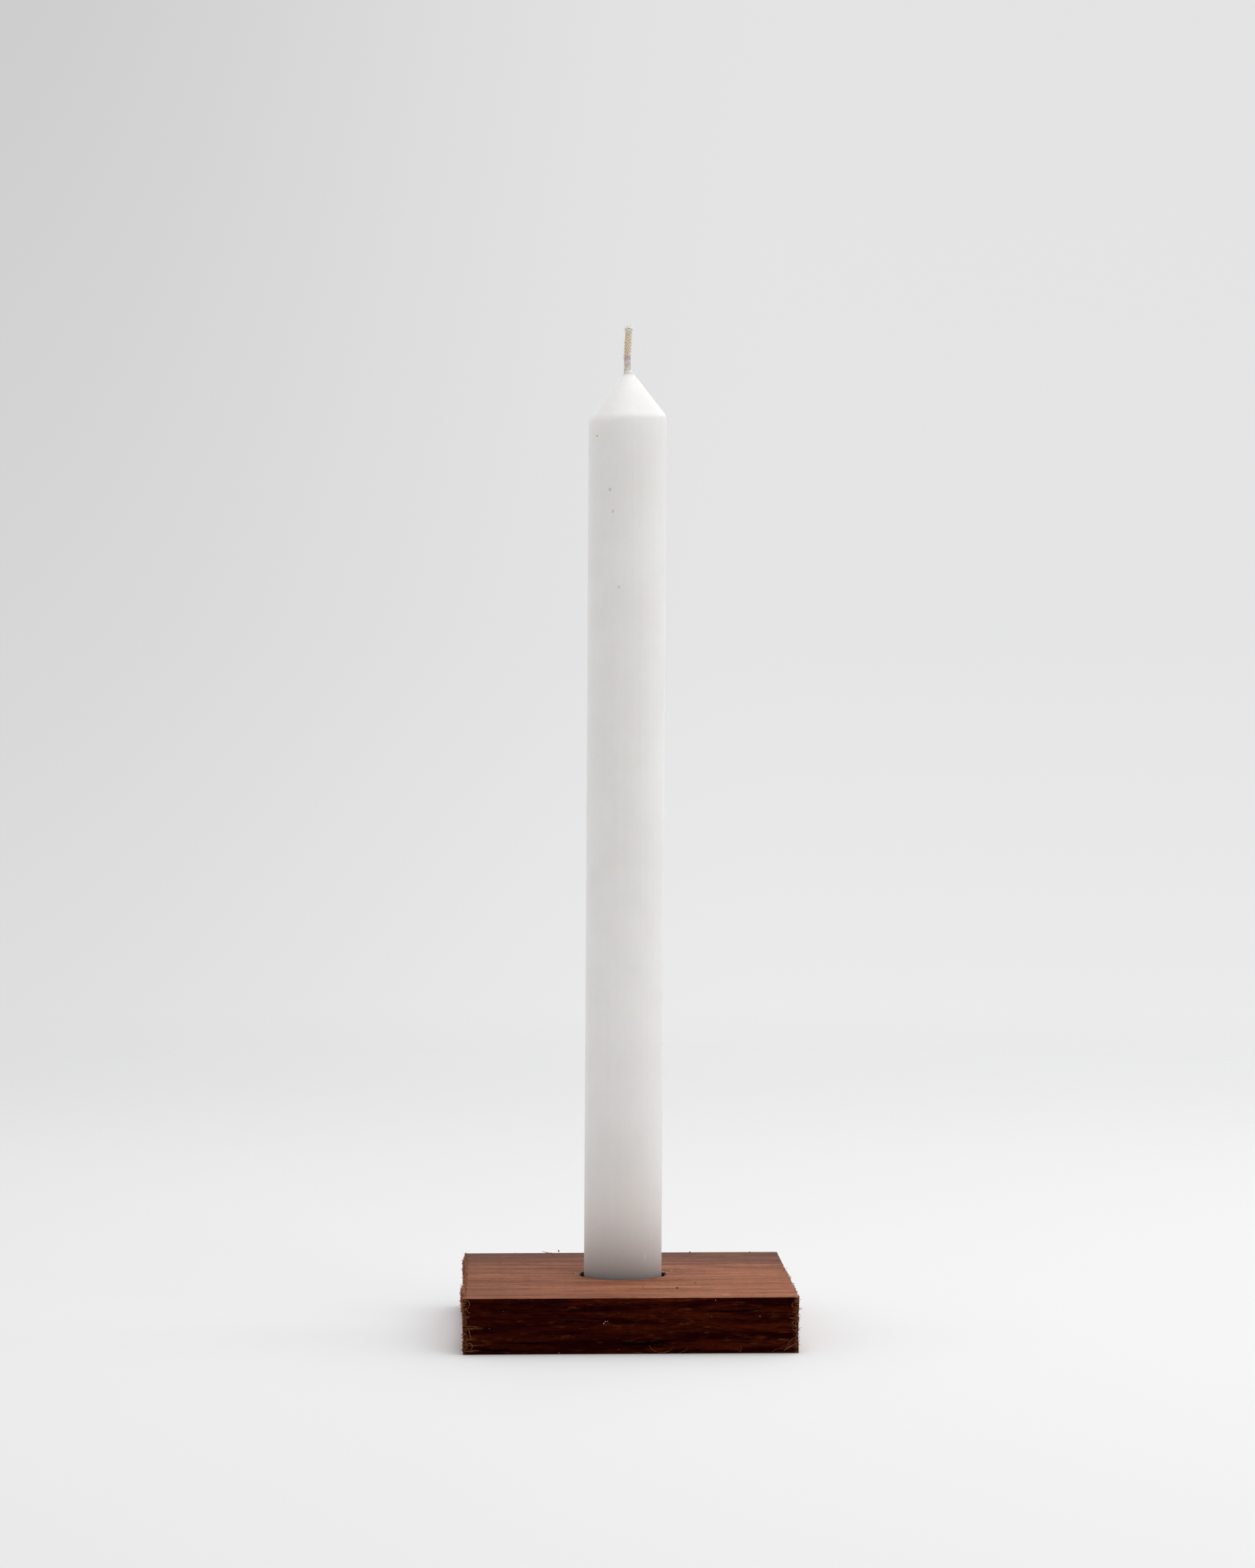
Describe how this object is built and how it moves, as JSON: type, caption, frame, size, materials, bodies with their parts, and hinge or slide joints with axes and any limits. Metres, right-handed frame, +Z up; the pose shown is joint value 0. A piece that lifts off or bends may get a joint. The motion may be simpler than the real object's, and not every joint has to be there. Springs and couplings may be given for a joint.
{
  "type": "block candlestick with candle",
  "caption": "Low square block candlestick sawn from a dark hardwood plank, bored near its centre to hold one straight white candle with a cone tip and bare wick.",
  "frame": {"origin": "centre of the block's underside, where it rests on the table", "axes": "+Z up, grain and sawn ends along X, front long face towards -Y"},
  "size_m": [0.092, 0.089, 0.2835],
  "materials": {
    "hardwood": "sawn and lightly oiled, fine straight grain, torn sawn ends",
    "wax": "smooth satin paraffin wax, slightly translucent",
    "cotton": "braided cotton primed with wax"
  },
  "bodies": {
    "holder": {"wood_block": "hardwood"},
    "candle": {"candle_wax": "wax", "wick": "cotton"}
  },
  "joints": [
    {"name": "candle_lift", "type": "slide", "parent": "holder", "child": "candle", "axis": [0.0058, 0, 1], "range_m": [0, 0.04]}
  ]
}
